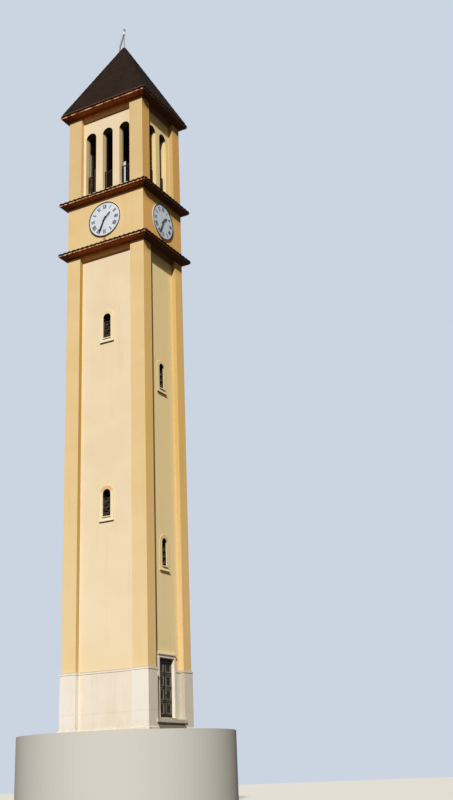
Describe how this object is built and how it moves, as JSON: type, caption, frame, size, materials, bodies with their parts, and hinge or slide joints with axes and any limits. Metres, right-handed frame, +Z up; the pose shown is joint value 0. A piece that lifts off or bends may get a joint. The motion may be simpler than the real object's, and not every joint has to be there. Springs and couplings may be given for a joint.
{
  "type": "free-standing church bell tower",
  "caption": "Tall square-shouldered masonry bell tower with recessed panels, clock faces, arched belfry, pyramid roof, wind vane and a double-leaf entrance door.",
  "frame": {"origin": "centre of the base face, at ground level", "axes": "+Z up; the front faces -Y and the entrance face is towards +X"},
  "size_m": [4.86, 3.96, 34.515],
  "materials": {
    "cream_plaster": "matt lime plaster",
    "ochre_plaster": "matt lime plaster",
    "white_stone": "honed slabs",
    "step_stone": "worn",
    "frame_stone": "honed",
    "cornice_brown": "matt red-brown",
    "roof_tile": "matt dark brown",
    "iron": "painted",
    "door_wood": "dark varnish",
    "dial_enamel": "white enamel",
    "hand_black": "black",
    "vane_metal": "bare metal"
  },
  "bodies": {
    "tower": {"ground_floor": "step_stone", "plinth_front": "white_stone", "plinth_back": "white_stone", "plinth_left": "white_stone", "plinth_right_near": "white_stone", "plinth_right_far": "white_stone", "entrance_steps": "step_stone", "door_frame": "frame_stone", "door_side_wall_near": "cream_plaster", "door_side_wall_far": "cream_plaster", "shaft_piers": "ochre_plaster", "window_surrounds": "cream_plaster", "lower_cornice": "cornice_brown", "upper_cornice": "cornice_brown", "eaves_cornice": "cornice_brown", "clock_dials": "dial_enamel", "belfry_floor": "step_stone", "belfry_piers": "ochre_plaster", "belfry_railings": "iron", "belfry_ceiling": "cream_plaster", "roof": "roof_tile", "finial_post": "iron", "shaft_wall_front": "cream_plaster", "clock_wall_front": "ochre_plaster", "belfry_wall_front": "cream_plaster", "shaft_wall_right": "cream_plaster", "clock_wall_right": "ochre_plaster", "belfry_wall_right": "cream_plaster", "shaft_wall_back": "cream_plaster", "clock_wall_back": "ochre_plaster", "belfry_wall_back": "cream_plaster", "shaft_wall_left": "cream_plaster", "clock_wall_left": "ochre_plaster", "belfry_wall_left": "cream_plaster"},
    "door_leaf_far": {"door_leaf_far": "door_wood"},
    "door_leaf_near": {"door_leaf_near": "door_wood"},
    "hour_hand_back": {"hour_hand_back": "hand_black"},
    "hour_hand_front": {"hour_hand_front": "hand_black"},
    "hour_hand_left": {"hour_hand_left": "hand_black"},
    "hour_hand_right": {"hour_hand_right": "hand_black"},
    "minute_hand_back": {"minute_hand_back": "hand_black"},
    "minute_hand_front": {"minute_hand_front": "hand_black"},
    "minute_hand_left": {"minute_hand_left": "hand_black"},
    "minute_hand_right": {"minute_hand_right": "hand_black"},
    "wind_vane": {"wind_vane": "vane_metal"}
  },
  "joints": [
    {"name": "door_near_hinge", "type": "hinge", "parent": "tower", "child": "door_leaf_near", "pos_m": [1.765, -0.532, 0.54], "axis": [0, 0, 1], "range_deg": [0, 90]},
    {"name": "door_far_hinge", "type": "hinge", "parent": "tower", "child": "door_leaf_far", "pos_m": [1.765, 0.532, 0.54], "axis": [0, 0, -1], "range_deg": [0, 90]},
    {"name": "minute_hand_front_spin", "type": "hinge", "parent": "tower", "child": "minute_hand_front", "pos_m": [0, -1.65, 22.68], "axis": [0, 1, 0], "continuous": true},
    {"name": "hour_hand_front_spin", "type": "hinge", "parent": "tower", "child": "hour_hand_front", "pos_m": [0, -1.65, 22.68], "axis": [0, 1, 0], "continuous": true},
    {"name": "minute_hand_right_spin", "type": "hinge", "parent": "tower", "child": "minute_hand_right", "pos_m": [2.1, 0, 22.68], "axis": [-1, 0, 0], "continuous": true},
    {"name": "hour_hand_right_spin", "type": "hinge", "parent": "tower", "child": "hour_hand_right", "pos_m": [2.1, 0, 22.68], "axis": [-1, 0, 0], "continuous": true},
    {"name": "minute_hand_back_spin", "type": "hinge", "parent": "tower", "child": "minute_hand_back", "pos_m": [0, 1.65, 22.68], "axis": [0, -1, 0], "continuous": true},
    {"name": "hour_hand_back_spin", "type": "hinge", "parent": "tower", "child": "hour_hand_back", "pos_m": [0, 1.65, 22.68], "axis": [0, -1, 0], "continuous": true},
    {"name": "minute_hand_left_spin", "type": "hinge", "parent": "tower", "child": "minute_hand_left", "pos_m": [-2.1, 0, 22.68], "axis": [1, 0, 0], "continuous": true},
    {"name": "hour_hand_left_spin", "type": "hinge", "parent": "tower", "child": "hour_hand_left", "pos_m": [-2.1, 0, 22.68], "axis": [1, 0, 0], "continuous": true},
    {"name": "wind_vane_spin", "type": "hinge", "parent": "tower", "child": "wind_vane", "pos_m": [0, 0, 34.124], "axis": [0, 0, 1], "continuous": true}
  ],
  "couplings": [
    {"joint": "hour_hand_front_spin", "follows": "minute_hand_front_spin", "ratio": 0.083333},
    {"joint": "minute_hand_right_spin", "follows": "minute_hand_front_spin", "ratio": 1},
    {"joint": "hour_hand_right_spin", "follows": "minute_hand_front_spin", "ratio": 0.083333},
    {"joint": "minute_hand_back_spin", "follows": "minute_hand_front_spin", "ratio": 1},
    {"joint": "hour_hand_back_spin", "follows": "minute_hand_front_spin", "ratio": 0.083333},
    {"joint": "minute_hand_left_spin", "follows": "minute_hand_front_spin", "ratio": 1},
    {"joint": "hour_hand_left_spin", "follows": "minute_hand_front_spin", "ratio": 0.083333}
  ]
}
